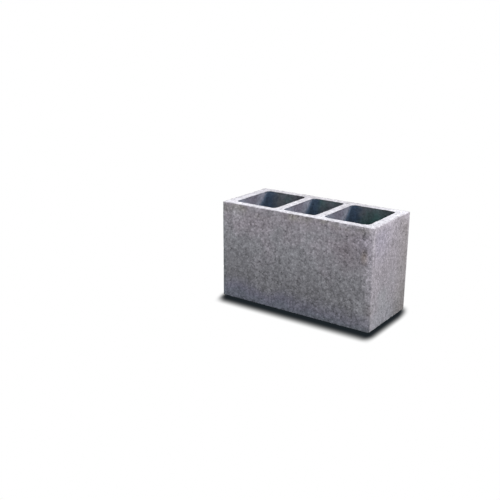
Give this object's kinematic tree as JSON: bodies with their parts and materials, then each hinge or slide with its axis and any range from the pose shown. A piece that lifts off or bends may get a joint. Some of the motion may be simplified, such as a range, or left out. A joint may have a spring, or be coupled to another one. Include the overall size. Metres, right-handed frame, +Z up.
{
  "type": "ventilation block",
  "caption": "Hollow concrete ventilation block with a row of open upright cells, stacked with others so that the cells form air ducts in a wall.",
  "frame": {"origin": "centre of the underside, which is the bed face that the block stands on", "axes": "+X along the row of cells, +Y to the back, +Z up along the cells"},
  "size_m": [0.56, 0.25, 0.33],
  "materials": {
    "concrete": "matte"
  },
  "bodies": {
    "root": {"vent_block": "concrete"}
  },
  "joints": []
}
